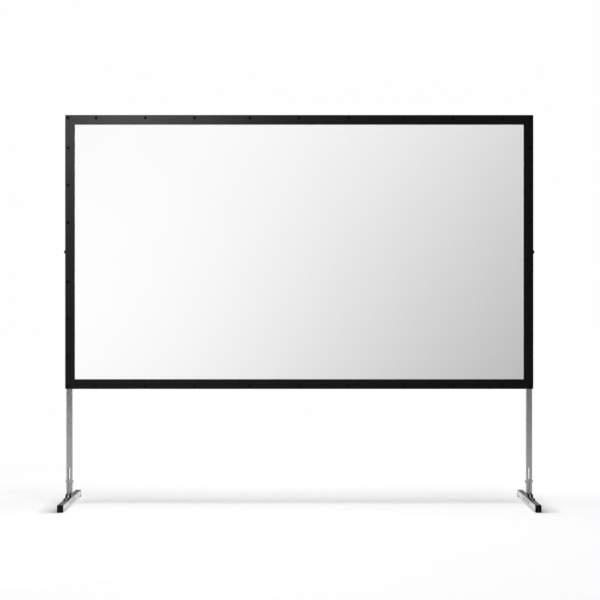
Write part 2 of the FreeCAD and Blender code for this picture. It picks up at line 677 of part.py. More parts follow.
def foot_tongue(label, side):
    """Steel plate with a hub on the pivot, down between the cheeks; its tang is on bolts in the bar."""
    x = signed(side, "leg_x")
    body = new_body("%s - tongue_thick / 2" % x, "0", "0")
    plate = sketch_on(body, "YZ_Plane")
    toe = "foot_top + bracket_toe"
    top = "foot_top + bracket_height"
    low = "foot_top - tongue_tang_drop"
    polygon(plate, [("-tang_half", low), ("tang_half", low), ("tang_half", "foot_top"),
                    ("bracket_rear", "foot_top"), ("bracket_rear", toe), ("bracket_step", toe),
                    ("bracket_step - bracket_slope", top), ("tongue_neck", top),
                    ("tongue_head_radius", "pivot_height"), ("-tongue_head_radius", "pivot_height"),
                    ("-tongue_neck", top), ("-bracket_step + bracket_slope", top), ("-bracket_step", toe),
                    ("-bracket_front", toe), ("-bracket_front", "foot_top"), ("-tang_half", "foot_top")])
    pad(body, plate, "tongue_thick")
    hub_proud = "(tongue_hub_thick - tongue_thick) / 2"
    hub = sketch_on(body, "YZ_Plane", "-(%s)" % hub_proud)
    circle(hub, "0", "pivot_height", "tongue_head_radius")
    pad(body, hub, "tongue_hub_thick")
    bore = sketch_on(body, "YZ_Plane", "tongue_thick + %s + overrun" % hub_proud)
    circle(bore, "0", "pivot_height", "pivot_radius + pin_clearance")
    pocket(body, bore, "tongue_hub_thick + 2 * overrun")
    bolts = []
    for i in (-1, 0, 1):
        y = "%d * foot_bolt_pitch" % i
        bolts.append(rod("foot_bolt_radius", "tube_side", "X", "%s - half_tube" % x, y, "foot_centre_z"))
        for start in ("-half_tube - foot_bolt_head_thick", "half_tube"):
            bolts.append(rod("foot_bolt_head_radius", "foot_bolt_head_thick", "X",
                             "%s + %s" % (x, start), y, "foot_centre_z"))
    node(fuse([body] + bolts), label)


for side_name, side in SIDES:
    upright(side_name + "_upright", side)
    upright_cap(side_name + "_upright_cap", side)
    sleeve(side_name + "_sleeve", side)
    knob(side_name + "_sleeve_knob", signed(side, "leg_x"), "sleeve_outer / 2 + stud_gap",
         "frame_bottom + sleeve_height / 2", "sleeve_wall + stud_gap")
    knob(side_name + "_upper_knob", signed(side, "leg_x"), "half_leg + stud_gap", "upper_knob_height",
         "leg_side + stud_gap + upper_screw_proud")
    pivot_bolt(side_name + "_pivot_bolt", side)
    foot_bar(side_name + "_foot_bar", side)
    foot_caps(side_name + "_foot_caps", side)
    foot_bracket(side_name + "_foot_bracket", side)
    foot_tongue(side_name + "_foot_tongue", side)

doc.recompute()

# Check every object, then write one file for each sub-part.
for thing in doc.Objects:
    if "Invalid" in thing.State or "Error" in thing.State:
        raise RuntimeError("%s did not compute: %s" % (thing.Label, thing.State))
for thing in NODES:
    if thing.Shape.isNull() or not thing.Shape.isValid() or not thing.Shape.Solids:
        raise RuntimeError("%s has no sound solid" % thing.Label)

os.makedirs("parts", exist_ok=True)
for thing in NODES:
    thing.Shape.exportStep("parts/%s.step" % thing.Label)
print("%d sub-parts written" % len(NODES))
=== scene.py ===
import math

import bmesh
import bpy
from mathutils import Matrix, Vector


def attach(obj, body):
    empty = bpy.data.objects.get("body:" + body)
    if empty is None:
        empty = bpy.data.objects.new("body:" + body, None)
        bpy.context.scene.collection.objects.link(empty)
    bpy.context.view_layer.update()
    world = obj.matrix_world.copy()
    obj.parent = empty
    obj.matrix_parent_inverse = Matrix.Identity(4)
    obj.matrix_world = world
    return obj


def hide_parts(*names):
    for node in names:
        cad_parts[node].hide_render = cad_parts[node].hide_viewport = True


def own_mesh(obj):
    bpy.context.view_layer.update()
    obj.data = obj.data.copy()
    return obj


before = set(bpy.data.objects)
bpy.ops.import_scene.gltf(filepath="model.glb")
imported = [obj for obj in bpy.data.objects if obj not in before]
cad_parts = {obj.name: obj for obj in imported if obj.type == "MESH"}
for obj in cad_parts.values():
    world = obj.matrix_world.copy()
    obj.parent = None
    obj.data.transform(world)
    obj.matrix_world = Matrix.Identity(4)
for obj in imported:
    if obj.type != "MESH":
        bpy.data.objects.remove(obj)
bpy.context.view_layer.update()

MM = 0.001


# Camera: a long lens about ten metres in front of the screen, level, at chest height.
# Its axis passes just left of the picture's centre and just below it, which the shift puts right.
camera_place = (-2.8 * MM, -10067 * MM, 1109 * MM)
bpy.ops.object.camera_add(location=camera_place, rotation=(math.radians(90), 0, 0))
camera = bpy.context.object
camera.data.sensor_width = 36
camera.data.lens = 110.37
camera.data.shift_x = 0.0021
camera.data.shift_y = 0.00303
camera.data.clip_end = 200
bpy.context.scene.camera = camera
bpy.context.scene.view_settings.view_transform = "Standard"


# Studio floor: white paper whose matt part takes the shadows and whose glow keeps it white to what
# looks at it. Its glow is raised where the lamps reach less and where the screen keeps the softboxes'
# light off it, which is painted light. Near and under the feet and legs its glow and matt colour
# are darkened, most at the feet's front ends and outer sides, which is painted shade.
# Metal sees it all white up to its end behind the camera, where the studio is dark.
def linear(hex_colour, alpha=1.0):
    """The sRGB colour written as six hex digits, in the linear values that sockets take."""
    shares = [int(hex_colour[i:i + 2], 16) / 255 for i in (0, 2, 4)]
    low_end, low_slope, offset, power = 0.04045, 12.92, 0.055, 2.4
    return [share / low_slope if share <= low_end else ((share + offset) / (1 + offset)) ** power
            for share in shares] + [alpha]


def add_node(tree, kind, wires=None, **settings):
    """Adds a node, sets its properties, and gives its sockets a value or a link."""
    node = tree.nodes.new(kind)
    for setting, value in settings.items():
        setattr(node, setting, value)
    for socket, value in (wires or {}).items():
        if isinstance(value, bpy.types.NodeSocket):
            tree.links.new(value, node.inputs[socket])
        else:
            node.inputs[socket].default_value = value
    return node


def new_material(name):
    """An empty material and its node tree, with an output node."""
    material = bpy.data.materials.new(name)
    material.use_nodes = True
    material.node_tree.nodes.clear()
    return material, material.node_tree, add_node(material.node_tree, "ShaderNodeOutputMaterial")


def kinds_of_ray(tree):
    """Which rays look at the surface: those from the camera, and those by way of metal or glass."""
    path = add_node(tree, "ShaderNodeLightPath")
    mirrored = add_node(tree, "ShaderNodeMath", {0: path.outputs["Is Glossy Ray"],
                                                 1: path.outputs["Is Transmission Ray"]}, operation="MAXIMUM")
    return path.outputs["Is Camera Ray"], mirrored.outputs[0]


floor_side = 120
base_shine = 0.547
# Painted light: the steps raise the glow towards the front, behind the screen, far behind and to the right,
# where the lamps reach less or the screen keeps the softboxes' light off the floor.
painted_light_steps = (("Y", -2.0, -3.3, 0.025), ("Y", 0.0, 1.3, 0.135), ("Y", 4.0, 14.0, 0.021),
               ("X", 0.6, 2.2, 0.02))
# Painted shade near the feet and legs: how far the occlusion reaches, its lean towards the middle so that it
# falls more on the outer sides, and how deep it is at the feet's front ends and along their middle.
shade_reach, inward_lean = 0.12, -1.0
front_shade_depth, middle_shade_depth = 1.5, 0.35
foot_front, foot_middle = -0.36, 0.04
paper_end, dark_from = -6.0, -8.5
bpy.ops.object.select_all(action="DESELECT")
bpy.ops.mesh.primitive_plane_add(size=floor_side, location=(0, 0, 0))
floor = bpy.context.object
floor.name = "studio_floor"
paper, tree, output = new_material("white_studio_paper")
from_camera, mirrored = kinds_of_ray(tree)
seen = add_node(tree, "ShaderNodeMath", {0: from_camera, 1: mirrored}, operation="MAXIMUM")
floor_place = add_node(tree, "ShaderNodeTexCoord").outputs["Object"]
where = add_node(tree, "ShaderNodeSeparateXYZ", {"Vector": floor_place})
in_metal = add_node(tree, "ShaderNodeLightPath").outputs["Is Glossy Ray"]
lean = add_node(tree, "ShaderNodeMath", {0: where.outputs["X"], 1: inward_lean}, operation="MULTIPLY")
to_middle = add_node(tree, "ShaderNodeVectorMath",
                     {0: add_node(tree, "ShaderNodeCombineXYZ", {"X": lean.outputs[0], "Z": 1.0}).outputs[0]},
                     operation="NORMALIZE")
# Painted shade: occlusion near things darkens the floor's glow and matt colour, most at the feet's front
# ends.
openness = add_node(tree, "ShaderNodeAmbientOcclusion", {"Distance": shade_reach,
                                                         "Normal": to_middle.outputs[0]}, samples=16)
depth = add_node(tree, "ShaderNodeMapRange", {"Value": where.outputs["Y"], "From Min": foot_front,
                                              "From Max": foot_middle, "To Min": front_shade_depth,
                                              "To Max": middle_shade_depth})
deepened = add_node(tree, "ShaderNodeMath", {0: openness.outputs["AO"], 1: depth.outputs["Result"]},
                    operation="POWER")
uncovered = add_node(tree, "ShaderNodeMath", {0: deepened.outputs[0], 1: in_metal}, operation="MAXIMUM")
seen_open = add_node(tree, "ShaderNodeMath", {0: seen.outputs[0], 1: uncovered.outputs[0]},
                     operation="MULTIPLY")
# Painted shade: where covered, the matt colour goes from the paper's white to dark grey, which is also the
# colour that lamplight bouncing off the floor takes.
matt_colour = add_node(tree, "ShaderNodeMix", {"Factor": seen_open.outputs[0], "A": linear("5A5A5A"),
                                               "B": linear("B6B6B6")}, data_type="RGBA")
matt = add_node(tree, "ShaderNodeBsdfDiffuse", {"Color": matt_colour.outputs["Result"]})
shine = base_shine
for way, start, end, rise in painted_light_steps:
    step = add_node(tree, "ShaderNodeMapRange", {"Value": where.outputs[way], "From Min": start,
                                                 "From Max": end, "To Max": rise},
                    interpolation_type="SMOOTHSTEP")
    shine = add_node(tree, "ShaderNodeMath", {0: shine, 1: step.outputs["Result"]},
                     operation="ADD").outputs[0]
# The glow carries the painted light of the steps and the painted shade near things.
glow_strength = add_node(tree, "ShaderNodeMath", {0: seen_open.outputs[0], 1: shine}, operation="MULTIPLY")
glow = add_node(tree, "ShaderNodeEmission", {"Color": linear("FFFFFF"),
                                             "Strength": glow_strength.outputs[0]})
both = add_node(tree, "ShaderNodeAddShader", {0: matt.outputs[0], 1: glow.outputs[0]})
beyond = add_node(tree, "ShaderNodeMapRange", {"Value": where.outputs["Y"], "From Min": paper_end,
                                               "From Max": dark_from, "To Min": 0.0, "To Max": 1.0})
bare_share = add_node(tree, "ShaderNodeMath", {0: in_metal, 1: beyond.outputs["Result"]},
                      operation="MULTIPLY")
bare_floor = add_node(tree, "ShaderNodeBsdfDiffuse", {"Color": linear("3C3C3C")})
paper_or_floor = add_node(tree, "ShaderNodeMixShader", {0: bare_share.outputs[0], 1: both.outputs[0],
                                                        2: bare_floor.outputs[0]})
tree.links.new(paper_or_floor.outputs[0], output.inputs["Surface"])
floor.data.materials.append(paper)


# Studio background: white to the camera. Behind the object metal sees it white at the horizon and
# overhead and grey between, and behind the camera a grey studio. It gives only a weak light.
world = bpy.data.worlds.new("studio")
bpy.context.scene.world = world
world.use_nodes = True
tree = world.node_tree
tree.nodes.clear()
even_light = 0.08
side_blend = 0.3
direction = add_node(tree, "ShaderNodeTexCoord")
toward = add_node(tree, "ShaderNodeSeparateXYZ", {"Vector": direction.outputs["Generated"]})
ramp = add_node(tree, "ShaderNodeValToRGB", {"Fac": toward.outputs["Z"]})
stops = ((0.0, "FFFFFF"), (0.02, "FFFFFF"), (0.06, "8C8C8C"), (0.12, "707070"), (0.55, "8C8C8C"),
         (1.0, "FFFFFF"))
for _ in range(len(stops) - 2):
    ramp.color_ramp.elements.new(0.5)
for element, (share, grey) in zip(ramp.color_ramp.elements, stops):
    element.position = share
    element.color = linear(grey)
from_camera, mirrored = kinds_of_ray(tree)
dim = add_node(tree, "ShaderNodeBackground", {"Color": linear("FFFFFF"), "Strength": even_light})
behind_object = add_node(tree, "ShaderNodeMapRange", {"Value": toward.outputs["Y"],
                                                      "From Min": -side_blend, "From Max": side_blend})
around = add_node(tree, "ShaderNodeMix", {"Factor": behind_object.outputs["Result"], "A": linear("6E6E6E"),
                                          "B": ramp.outputs["Color"]}, data_type="RGBA")
studio = add_node(tree, "ShaderNodeBackground", {"Color": around.outputs["Result"], "Strength": 1.0})
white = add_node(tree, "ShaderNodeBackground", {"Color": linear("FEFEFE"), "Strength": 1.0})
reflected = add_node(tree, "ShaderNodeMixShader", {0: mirrored, 1: dim.outputs[0], 2: studio.outputs[0]})
backdrop = add_node(tree, "ShaderNodeMixShader", {0: from_camera, 1: reflected.outputs[0],
                                                  2: white.outputs[0]})
output = add_node(tree, "ShaderNodeOutputWorld")
tree.links.new(backdrop.outputs[0], output.inputs["Surface"])


# Lamps: a wide soft one overhead, which makes the floor's shadow, two softboxes that light the
# cloth from the upper right and lower left, a strip that shines on the border alone, and a softbox
# behind that lights the back of the sheet alone.
def softbox(name, place, target, side, watts, matt=True):
    """A square lamp that faces a point. It lights matt surfaces alone, or glossy ones alone."""
    bpy.ops.object.light_add(type="AREA", location=place)
    lamp = bpy.context.object
    lamp.name = name
    lamp.rotation_euler = (Vector(target) - Vector(place)).to_track_quat("-Z", "Y").to_euler()
    lamp.data.size = side
    lamp.data.energy = watts
    lamp.visible_camera = False
    lamp.visible_diffuse = matt
    lamp.visible_glossy = not matt
    return lamp


bpy.ops.object.light_add(type="SUN", rotation=(math.radians(11.6), 0, 0))
overhead = bpy.context.object
overhead.name = "overhead_light"
overhead.data.energy = 1.72
overhead.data.angle = math.radians(17.2)
overhead.visible_glossy = False
softbox("upper_right_softbox", (0.98, -3.3, 4.45), (-1.8, 0, 2.98), side=1.2, watts=113.5)
softbox("lower_left_softbox", (-1.05, -3.11, 0.26), (-3.0, 0, 2.96), side=0.4, watts=79)
border_strip = softbox("border_strip", (-1.16, -2.6, 2.4), (-0.9, 0, 2.0), side=0.5, watts=80, matt=False)
lit_by_strip = bpy.data.collections.new("lit_by_strip")
border_strip.light_linking.receiver_collection = lit_by_strip
rear_softbox = softbox("rear_softbox", (-0.8, 4.2, 3.4), (0, 0, 1.3), side=1.6, watts=190)
lit_from_behind = bpy.data.collections.new("lit_from_behind")
rear_softbox.light_linking.receiver_collection = lit_from_behind


# Screen cloth: one stretched sheet of white PVC-coated polyester, matt for projection. It is in
# three parts that meet without a gap at the frame's fold lines. Each rides on its bottom rail.
half_width = 1273 * MM
fold_x = 2 * half_width / 6
sheet_low, sheet_high = 635 * MM, 2125 * MM
border_width = 53 * MM
panel_thick = 0.35 * MM
panel_y = -64.4 * MM


def only_selected(piece):
    """Makes the piece the one that operators act on."""
    bpy.ops.object.select_all(action="DESELECT")
    piece.select_set(True)
    bpy.context.view_layer.objects.active = piece


def upright_plane(name, low_x, high_x, low_z, high_z, y):
    """A plane in the screen's own plane, facing the audience, with its place in its mesh."""
    bpy.ops.object.select_all(action="DESELECT")
    bpy.ops.mesh.primitive_plane_add(size=1, location=((low_x + high_x) / 2, y, (low_z + high_z) / 2),
                                     rotation=(math.radians(90), 0, 0))
    piece = bpy.context.object
    piece.name = name
    piece.scale = (high_x - low_x, high_z - low_z, 1)
    bpy.ops.object.transform_apply(location=True, rotation=True, scale=True)
    return piece


def thicken(piece, thick):
    """Gives a plane its thickness, half to each side."""
    only_selected(piece)
    solidify = piece.modifiers.new("thickness", "SOLIDIFY")
    solidify.thickness = thick
    solidify.offset = 0
    bpy.ops.object.modifier_apply(modifier=solidify.name)


def gather_with_fold(piece, side):
    """The piece rides on its bottom rail, with a mesh of its own."""
    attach(piece, "bottom_" + side)
    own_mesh(piece)


# PVC-coated polyester: matt white with a fine even weave under the coat. The threads are 0.9 mm
# apart, too fine to show at this distance, so they are only a faint unevenness of the surface.
screen_white, tree, output = new_material("pvc_coated_polyester")
# A wave texture repeats every pi / 10 metres at a scale of 1.
thread_pitch = 0.9 * MM
wave_period = math.pi / 10
where = add_node(tree, "ShaderNodeTexCoord").outputs["Object"]
threads = [add_node(tree, "ShaderNodeTexWave", {"Vector": where, "Scale": wave_period / thread_pitch},
                    bands_direction=way).outputs["Fac"] for way in ("X", "Z")]
weave = add_node(tree, "ShaderNodeMath", {0: threads[0], 1: threads[1]}, operation="MULTIPLY")
cloud = add_node(tree, "ShaderNodeTexNoise", {"Vector": where, "Scale": 3.0, "Detail": 3.0})
tone = add_node(tree, "ShaderNodeMix", {"Factor": cloud.outputs["Fac"], "A": linear("F3F3F3"),
                                        "B": linear("F5F5F5")}, data_type="RGBA")
relief = add_node(tree, "ShaderNodeBump", {"Height": weave.outputs[0], "Strength": 0.06,
                                           "Distance": 0.05 * MM})
coat = add_node(tree, "ShaderNodeBsdfPrincipled", {"Base Color": tone.outputs["Result"], "Roughness": 0.85,
                                                   "IOR": 1.45, "Specular IOR Level": 0.15,
                                                   "Normal": relief.outputs["Normal"]})
tree.links.new(coat.outputs[0], output.inputs["Surface"])

white_low, white_high = sheet_low + border_width, sheet_high - border_width
white_edge = half_width - border_width
for side, low_x, high_x in (("left", -white_edge, -fold_x), ("middle", -fold_x, fold_x),
                            ("right", fold_x, white_edge)):
    panel = upright_plane(side + "_screen_panel", low_x, high_x, white_low, white_high, panel_y)
    thicken(panel, panel_thick)
    panel.data.materials.append(screen_white)
    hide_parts(side + "_cloth")
    gather_with_fold(panel, side)
    lit_from_behind.objects.link(panel)


# Border: black woven tape 53 mm wide, folded over the cloth's edge and sewn down with two rows
# of stitches along its inner edge and one along its outer edge. It is part of the same sheet.
tape_thick = 0.85 * MM
tape_round = 0.25 * MM
corner_round = 6 * MM
tolerance = 0.01 * MM


def cut_across(piece, place, normal):
    """Cuts every face of the piece along a plane, and keeps both parts."""
    only_selected(piece)
    bpy.ops.object.mode_set(mode="EDIT")
    bpy.ops.mesh.select_all(action="SELECT")
    bpy.ops.mesh.bisect(plane_co=place, plane_no=normal)
    bpy.ops.object.mode_set(mode="OBJECT")


def select_parts(piece, kind, wanted):
    """In edit mode, selects the edges or faces whose middle passes the test, and nothing else."""
    only_selected(piece)
    bpy.ops.object.mode_set(mode="EDIT")
    bpy.ops.mesh.select_mode(type=kind)
    bpy.ops.mesh.select_all(action="DESELECT")
    mesh = bmesh.from_edit_mesh(piece.data)
    for part in (mesh.edges if kind == "EDGE" else mesh.faces):
        corners = [v.co for v in part.verts]
        if wanted(corners):
            part.select_set(True)
    bmesh.update_edit_mesh(piece.data)


def tape(side, low_x, high_x):
    """The border of one third: its lengths of tape are one piece, with mitred corners left plain."""
    piece = upright_plane(side + "_screen_border", low_x, high_x, sheet_low, sheet_high, panel_y)
    for z in (white_low, white_high):
        cut_across(piece, (0, 0, z), (0, 0, 1))
    for x in (-white_edge, white_edge):
        if low_x < x < high_x:
            cut_across(piece, (x, 0, 0), (1, 0, 0))

    def in_window(corners):
        middle = sum(corners, Vector()) / len(corners)
        return white_low < middle.z < white_high and abs(middle.x) < white_edge

    select_parts(piece, "FACE", in_window)
    bpy.ops.mesh.delete(type="FACE")
    bpy.ops.object.mode_set(mode="OBJECT")
    thicken(piece, tape_thick)

    def at_outer_corner(corners):
        return all(abs(abs(c.x) - half_width) < tolerance for c in corners) and (
            all(abs(c.z - sheet_low) < tolerance for c in corners)
            or all(abs(c.z - sheet_high) < tolerance for c in corners))

    select_parts(piece, "EDGE", at_outer_corner)
    bpy.ops.mesh.bevel(offset=corner_round, segments=5)
    bpy.ops.object.mode_set(mode="OBJECT")

    def on_outer_edge(corners):
        off_fold = not all(abs(abs(c.x) - fold_x) < tolerance for c in corners)
        flat = abs(corners[0].y - corners[1].y) < tolerance
        near = corner_round + tolerance
        outside = all(abs(c.z - sheet_low) < near or abs(c.z - sheet_high) < near
                      or abs(abs(c.x) - half_width) < near for c in corners)
        return off_fold and flat and outside

    select_parts(piece, "EDGE", on_outer_edge)
    bpy.ops.mesh.bevel(offset=tape_round, segments=2)
    bpy.ops.object.mode_set(mode="OBJECT")
    return piece


# Black woven tape: dull polyester with fine ribs across it, and lock stitches 4 mm long in black
# thread. Its surface scatters light between the ribs, so it shines less than a smooth plastic.
border_black, tree, output = new_material("black_polyester_tape")
sheet_mid = (sheet_low + sheet_high) / 2
where = add_node(tree, "ShaderNodeTexCoord").outputs["Object"]
parts = add_node(tree, "ShaderNodeSeparateXYZ", {"Vector": where})


def maths(operation, *values):
    """A sum in the tape's node tree."""
    return add_node(tree, "ShaderNodeMath", dict(enumerate(values)), operation=operation).outputs[0]


out_x = maths("SUBTRACT", maths("ABSOLUTE", parts.outputs["X"]), white_edge)
out_z = maths("SUBTRACT", maths("ABSOLUTE", maths("SUBTRACT", parts.outputs["Z"], sheet_mid)),
              white_high - sheet_mid)
from_inner_edge = maths("MAXIMUM", out_x, out_z)
on_upright_run = maths("GREATER_THAN", out_x, out_z)
along = add_node(tree, "ShaderNodeMix", {"Factor": on_upright_run, "A": parts.outputs["X"],
                                         "B": parts.outputs["Z"]}).outputs["Result"]
stitch_pitch, stitch_share, thread_half = 4 * MM, 0.72, 0.45 * MM
row_places = (4 * MM, 10 * MM, 48 * MM)
rows = [maths("LESS_THAN", maths("ABSOLUTE", maths("SUBTRACT", from_inner_edge, row)), thread_half)
        for row in row_places]
in_row = maths("MAXIMUM", maths("MAXIMUM", rows[0], rows[1]), rows[2])
stitches = maths("MULTIPLY", in_row, maths("LESS_THAN", maths("FRACT", maths("DIVIDE", along, stitch_pitch)),
                                           stitch_share))
rib_pitch, rib_share = 1.2 * MM, 0.25
ribs = maths("SINE", maths("MULTIPLY", along, 2 * math.pi / rib_pitch))
height = maths("ADD", maths("MULTIPLY", ribs, rib_share), stitches)
tape_colour = add_node(tree, "ShaderNodeMix", {"Factor": stitches, "A": linear("101010"),
                                               "B": linear("1C1C1C")}, data_type="RGBA")
rubbed = add_node(tree, "ShaderNodeTexNoise", {"Vector": where, "Scale": 9.0, "Detail": 4.0})
tape_gloss = add_node(tree, "ShaderNodeMapRange", {"Value": rubbed.outputs["Fac"], "To Min": 0.4,
                                                   "To Max": 0.46})
relief = add_node(tree, "ShaderNodeBump", {"Height": height, "Strength": 0.12, "Distance": 0.2 * MM})
weft = add_node(tree, "ShaderNodeBsdfPrincipled", {"Base Color": tape_colour.outputs["Result"],
                                                   "Roughness": tape_gloss.outputs["Result"], "IOR": 1.5,
                                                   "Specular IOR Level": 0.1,
                                                   "Normal": relief.outputs["Normal"]})
tree.links.new(weft.outputs[0], output.inputs["Surface"])

for side, low_x, high_x in (("left", -half_width, -fold_x), ("middle", -fold_x, fold_x),
                            ("right", fold_x, half_width)):
    border = tape(side, low_x, high_x)
    border.data.materials.append(border_black)
    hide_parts(side + "_border")
    gather_with_fold(border, side)
    lit_from_behind.objects.link(border)
    lit_by_strip.objects.link(border)


# Press studs: flat caps with a chamfered rim, which clamp the border on short posts on the tubes.
# They are black lacquered brass, a little rubbed on the face.
def dress(material, *nodes):
    """Gives CAD nodes their finish."""
    for node in nodes:
        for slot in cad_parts[node].material_slots:
            slot.material = material


sides = ("left", "right")
lacquer, tree, output = new_material("black_lacquered_brass")
where = add_node(tree, "ShaderNodeTexCoord").outputs["Object"]
rub_grain = 4 * MM
rub = add_node(tree, "ShaderNodeTexNoise", {"Vector": where, "Scale": 1 / rub_grain, "Detail": 3.0})
tone = add_node(tree, "ShaderNodeMix", {"Factor": rub.outputs["Fac"], "A": linear("040404"),
                                        "B": linear("0A0A09")}, data_type="RGBA")
gloss = add_node(tree, "ShaderNodeMapRange", {"Value": rub.outputs["Fac"], "To Min": 0.5, "To Max": 0.62})
skin = add_node(tree, "ShaderNodeBsdfPrincipled", {"Base Color": tone.outputs["Result"],
                                                   "Roughness": gloss.outputs["Result"], "IOR": 1.5,
                                                   "Specular IOR Level": 0.08})
tree.links.new(skin.outputs[0], output.inputs["Surface"])
dress(lacquer, "bottom_middle_studs", "top_middle_studs")
for side in sides:
    dress(lacquer, "bottom_%s_studs" % side, "top_%s_studs" % side)
    dress(lacquer, side + "_lower_studs", side + "_upper_studs")


# Frame tubes: 32 mm square aluminium extrusions behind the border, satin anodised.
# Extruding leaves fine straight lines along each tube, and handling leaves dull patches.
def anodised_extrusion(name, line_scale, dark, light, smooth=0.22, dull=0.34):
    """Satin anodised aluminium, with the extruding lines along the axis that has the small scale."""
    material, tree, output = new_material(name)
    where = add_node(tree, "ShaderNodeTexCoord").outputs["Object"]
    drawn = add_node(tree, "ShaderNodeMapping", {"Vector": where, "Scale": line_scale})
    lines = add_node(tree, "ShaderNodeTexNoise", {"Vector": drawn.outputs["Vector"], "Scale": 1.0,
                                                  "Detail": 2.0})
    patch_size = 70 * MM
    patches = add_node(tree, "ShaderNodeTexNoise", {"Vector": where, "Scale": 1 / patch_size, "Detail": 4.0})
    tone = add_node(tree, "ShaderNodeMix", {"Factor": lines.outputs["Fac"], "A": linear(dark),
                                            "B": linear(light)}, data_type="RGBA")
    gloss = add_node(tree, "ShaderNodeMapRange", {"Value": patches.outputs["Fac"], "To Min": smooth,
                                                  "To Max": dull})
    relief = add_node(tree, "ShaderNodeBump", {"Height": lines.outputs["Fac"], "Strength": 0.08,
                                               "Distance": 0.05 * MM})
    metal = add_node(tree, "ShaderNodeBsdfPrincipled", {"Base Color": tone.outputs["Result"], "Metallic": 1.0,
                                                        "Roughness": gloss.outputs["Result"],
                                                        "Normal": relief.outputs["Normal"]})
    tree.links.new(metal.outputs[0], output.inputs["Surface"])
    return material


across_lines, along_lines = 1 / (1.2 * MM), 1 / (180 * MM)
tube_across = anodised_extrusion("anodised_tube_x", (along_lines, across_lines, across_lines), "8E8F91",
                                 "9E9FA1")
tube_upright = anodised_extrusion("anodised_tube_z", (across_lines, across_lines, along_lines), "8E8F91",
                                  "9E9FA1")
dress(tube_across, "bottom_middle_rail", "top_middle_rail")
for side in sides:
    dress(tube_across, "bottom_%s_rail" % side, "top_%s_rail" % side)
    dress(tube_upright, side + "_lower_side_tube", side + "_upper_side_tube")


# Folding hinges at the frame's corners and at the middle of its sides: pairs of pressed steel
# plates on the front and rear of the tubes, powder coated black and riveted on.
powder, tree, output = new_material("black_powder_coat")
where = add_node(tree, "ShaderNodeTexCoord").outputs["Object"]
peel_size = 1.6 * MM
peel = add_node(tree, "ShaderNodeTexNoise", {"Vector": where, "Scale": 1 / peel_size, "Detail": 2.0})
scuffs = add_node(tree, "ShaderNodeTexNoise", {"Vector": where, "Scale": 1 / (12 * MM), "Detail": 5.0})
tone = add_node(tree, "ShaderNodeMix", {"Factor": scuffs.outputs["Fac"], "A": linear("161617"),
                                        "B": linear("232324")}, data_type="RGBA")
gloss = add_node(tree, "ShaderNodeMapRange", {"Value": scuffs.outputs["Fac"], "To Min": 0.4, "To Max": 0.56})
relief = add_node(tree, "ShaderNodeBump", {"Height": peel.outputs["Fac"], "Strength": 0.25,
                                           "Distance": 0.08 * MM})
skin = add_node(tree, "ShaderNodeBsdfPrincipled", {"Base Color": tone.outputs["Result"],
                                                   "Roughness": gloss.outputs["Result"], "IOR": 1.5,
                                                   "Normal": relief.outputs["Normal"]})
tree.links.new(skin.outputs[0], output.inputs["Surface"])
for side in sides:
    dress(powder, "bottom_%s_corner_plates" % side, "top_%s_corner_plates" % side)
    dress(powder, side + "_lower_hinge_plates", side + "_upper_hinge_plates")


# Plate rivets: two pan-headed rivets hold each hinge plate on its tube, front and rear.
# They are painted with the plates. One is modelled, and the others are copies of it.
rivet_radius, rivet_head, rivet_edge = 3.2 * MM, 1.1 * MM, 0.6 * MM
tube_mid_x = 1257 * MM
front_face, rear_face, plate_thick = -58 * MM, -26 * MM, 1.8 * MM
bpy.ops.object.select_all(action="DESELECT")
bpy.ops.mesh.primitive_cylinder_add(vertices=20, radius=rivet_radius, depth=rivet_head,
                                    location=(0, -rivet_head / 2, 0), rotation=(math.radians(90), 0, 0))
rivet = bpy.context.object
bpy.ops.object.transform_apply(location=True, rotation=True, scale=True)
select_parts(rivet, "EDGE", lambda corners: all(c.y < -rivet_head + tolerance for c in corners))
bpy.ops.mesh.bevel(offset=rivet_edge, segments=3)
bpy.ops.object.mode_set(mode="OBJECT")
bpy.ops.object.shade_smooth_by_angle(angle=math.radians(40))
rivet.data.materials.append(powder)


def rivets(body, rows):
    """Rivets on the front and rear plates of one body, at each place in the frame's plane."""
    heads = []
    for x, z, layers in rows:
        for face, way in ((front_face, -1), (rear_face, 1)):
            only_selected(rivet)
            bpy.ops.object.duplicate()
            head = bpy.context.object
            head.location = (x, face + way * layers * plate_thick, z)
            head.rotation_euler = (0, 0, 0 if way < 0 else math.pi)
            heads.append(head)
    only_selected(heads[0])
    for head in heads[1:]:
        head.select_set(True)
    bpy.ops.object.join()
    row = bpy.context.object
    bpy.ops.object.transform_apply(location=True, rotation=True, scale=True)
    row.name = body + "_plate_rivets"
    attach(row, body)


corner_x, corner_low, corner_high, middle_z = 1240.5 * MM, 667.5 * MM, 2092.5 * MM, 1380 * MM
rail_mid_low, rail_mid_high = 651 * MM, 2109 * MM
near_rivet, far_rivet = 19 * MM, 34 * MM
for side, way in (("left", -1), ("right", 1)):
    inward = [way * (corner_x - step) for step in (near_rivet, far_rivet)]
    rivets("bottom_" + side, [(x, rail_mid_low, 1) for x in inward])
    rivets("top_" + side, [(x, rail_mid_high, 1) for x in inward])
    x = way * tube_mid_x
    rivets(side + "_lower_side", [(x, corner_low + step, 2) for step in (near_rivet, far_rivet)]
           + [(x, middle_z - step, 1) for step in (near_rivet, far_rivet)])
    rivets(side + "_upper_side", [(x, corner_high - step, 2) for step in (near_rivet, far_rivet)]
           + [(x, middle_z + step, 2) for step in (near_rivet, far_rivet)])
bpy.data.objects.remove(rivet)


